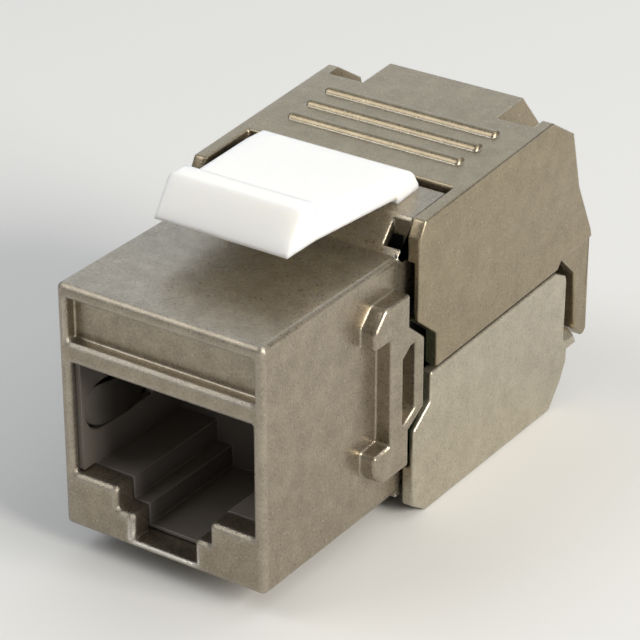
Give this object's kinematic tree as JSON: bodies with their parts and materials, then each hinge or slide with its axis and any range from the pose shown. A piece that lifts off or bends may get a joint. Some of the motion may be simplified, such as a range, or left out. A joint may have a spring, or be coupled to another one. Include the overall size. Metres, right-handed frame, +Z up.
{
  "type": "shielded keystone jack",
  "caption": "Shielded keystone jack with a die-cast front box and port, two hinged die-cast rear shells, a plastic panel latch and a cable entry at the rear.",
  "frame": {"origin": "middle of the closed jack's outline at the level of its lowest face, the lower shell's underside", "axes": "+Z up, +Y from the port's face to the cable entry, +X across the jack"},
  "size_m": [0.0166, 0.0352, 0.0224],
  "materials": {
    "cast_nickel_front": "satin nickel plating over a fine cast grain",
    "cast_nickel_upper": "satin nickel plating over a fine cast grain",
    "cast_nickel_lower": "satin nickel plating over a fine cast grain",
    "port_plastic": "moulded, matte",
    "carrier_plastic": "moulded, matte",
    "board": "laminate with solder mask",
    "block_plastic": "moulded, matte",
    "manager_plastic": "moulded, matte",
    "latch_plastic": "moulded, satin",
    "contact_gold": "gold-plated spring wire",
    "terminal_tin": "tin-plated",
    "spring_steel": "rolled strip"
  },
  "bodies": {
    "housing": {"front_housing": "cast_nickel_front", "port_insert": "port_plastic", "contact_carrier": "carrier_plastic", "plug_contact_1": "contact_gold", "plug_contact_2": "contact_gold", "plug_contact_3": "contact_gold", "plug_contact_4": "contact_gold", "plug_contact_5": "contact_gold", "plug_contact_6": "contact_gold", "plug_contact_7": "contact_gold", "plug_contact_8": "contact_gold", "circuit_board": "board", "idc_block": "block_plastic", "idc_terminal_1": "terminal_tin", "idc_terminal_2": "terminal_tin", "idc_terminal_3": "terminal_tin", "idc_terminal_4": "terminal_tin", "idc_terminal_5": "terminal_tin", "idc_terminal_6": "terminal_tin", "idc_terminal_7": "terminal_tin", "idc_terminal_8": "terminal_tin", "wire_manager": "manager_plastic", "ground_spring_left": "spring_steel", "ground_spring_right": "spring_steel"},
    "upper_cover": {"upper_shell": "cast_nickel_upper"},
    "lower_cover": {"lower_shell": "cast_nickel_lower"},
    "latch": {"panel_latch": "latch_plastic"}
  },
  "joints": [
    {"name": "upper_cover_hinge", "type": "hinge", "parent": "housing", "child": "upper_cover", "pos_m": [0, -0.00165, 0.01855], "axis": [1, 0, 0], "range_deg": [0, 80]},
    {"name": "lower_cover_hinge", "type": "hinge", "parent": "housing", "child": "lower_cover", "pos_m": [0, -0.00195, 0.00225], "axis": [-1, 0, 0], "range_deg": [0, 60]},
    {"name": "latch_flex", "type": "hinge", "parent": "housing", "child": "latch", "pos_m": [0, -0.00135, 0.01967], "axis": [1, 0, 0], "range_deg": [0, 8]}
  ]
}
